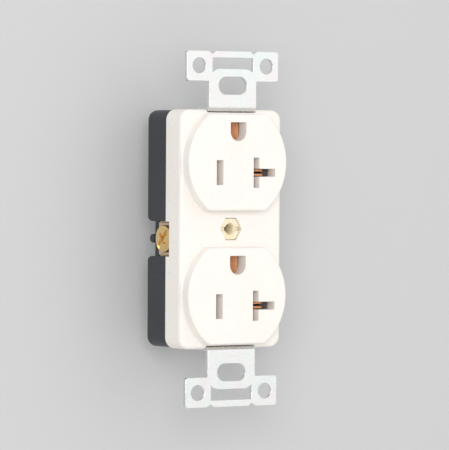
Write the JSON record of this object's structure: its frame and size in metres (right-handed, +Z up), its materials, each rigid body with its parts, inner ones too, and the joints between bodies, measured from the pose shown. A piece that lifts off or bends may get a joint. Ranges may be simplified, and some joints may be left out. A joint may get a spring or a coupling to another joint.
{
  "type": "duplex wall outlet",
  "caption": "Duplex grounded wall outlet: white two-face cover, grey rear body, wrap-around steel strap with snap-off ears, side screw terminals that clamp the wires.",
  "frame": {"origin": "middle of the outlet on the back plane of the mounting ears, where they meet the wall", "axes": "+Z up along the strap, +X to the right seen from the room, -Y out into the room, +Y into the wall box"},
  "size_m": [0.0352, 0.0253, 0.1036],
  "materials": {
    "white_cover": "glossy moulded white",
    "grey_body": "satin moulded slate grey",
    "zinc_steel": "bright zinc plate",
    "pale_brass": "bright turned brass",
    "brass": "plain brass",
    "nickel": "nickel plate",
    "copper_alloy": "phosphor bronze, spring temper",
    "plated_clamp": "yellow-plated steel with a pinkish tint",
    "green_screw": "green-dyed plating",
    "dark_steel": "zinc-plated screw steel"
  },
  "bodies": {
    "outlet": {"front_cover": "white_cover", "rear_body": "grey_body", "mounting_strap": "zinc_steel", "center_post": "pale_brass", "center_rear_screw": "dark_steel", "assembly_screw_upper_left": "dark_steel", "assembly_screw_upper_right": "dark_steel", "assembly_screw_lower_left": "dark_steel", "assembly_screw_lower_right": "dark_steel", "hot_terminal_bus": "brass", "neutral_terminal_bus": "nickel", "hot_contact_upper": "copper_alloy", "hot_rivet_upper": "brass", "neutral_contact_upper": "copper_alloy", "neutral_rivet_upper": "brass", "ground_contact_upper": "copper_alloy", "ground_rivet_upper": "zinc_steel", "hot_contact_lower": "copper_alloy", "hot_rivet_lower": "brass", "neutral_contact_lower": "copper_alloy", "neutral_rivet_lower": "brass", "ground_contact_lower": "copper_alloy", "ground_rivet_lower": "zinc_steel"},
    "hot_clamp": {"hot_clamp_plate": "plated_clamp"},
    "hot_screw": {"hot_terminal_screw": "brass"},
    "neutral_clamp": {"neutral_clamp_plate": "plated_clamp"},
    "neutral_screw": {"neutral_terminal_screw": "nickel"},
    "ground_clamp": {"ground_clamp_plate": "plated_clamp"},
    "ground_screw": {"ground_terminal_screw": "green_screw"}
  },
  "joints": [
    {"name": "hot_clamp_lift", "type": "slide", "parent": "outlet", "child": "hot_clamp", "axis": [-1, 0, 0], "range_m": [0, 0.00175]},
    {"name": "hot_screw_turn", "type": "hinge", "parent": "hot_clamp", "child": "hot_screw", "pos_m": [-0.0164, 0.0098, -0.00295], "axis": [-1, 0, 0], "range_deg": [0, 905]},
    {"name": "neutral_clamp_lift", "type": "slide", "parent": "outlet", "child": "neutral_clamp", "axis": [1, 0, 0], "range_m": [0, 0.00175]},
    {"name": "neutral_screw_turn", "type": "hinge", "parent": "neutral_clamp", "child": "neutral_screw", "pos_m": [0.0164, 0.0098, -0.00295], "axis": [1, 0, 0], "range_deg": [0, 905]},
    {"name": "ground_clamp_lift", "type": "slide", "parent": "outlet", "child": "ground_clamp", "axis": [1, 0, 0], "range_m": [0, 0.00175]},
    {"name": "ground_screw_turn", "type": "hinge", "parent": "ground_clamp", "child": "ground_screw", "pos_m": [0.0164, 0.0098, 0.0256], "axis": [1, 0, 0], "range_deg": [0, 905]}
  ],
  "couplings": [
    {"joint": "hot_screw_turn", "follows": "hot_clamp_lift", "rad_per_m": 8976},
    {"joint": "neutral_screw_turn", "follows": "neutral_clamp_lift", "rad_per_m": 8976},
    {"joint": "ground_screw_turn", "follows": "ground_clamp_lift", "rad_per_m": 8976}
  ]
}
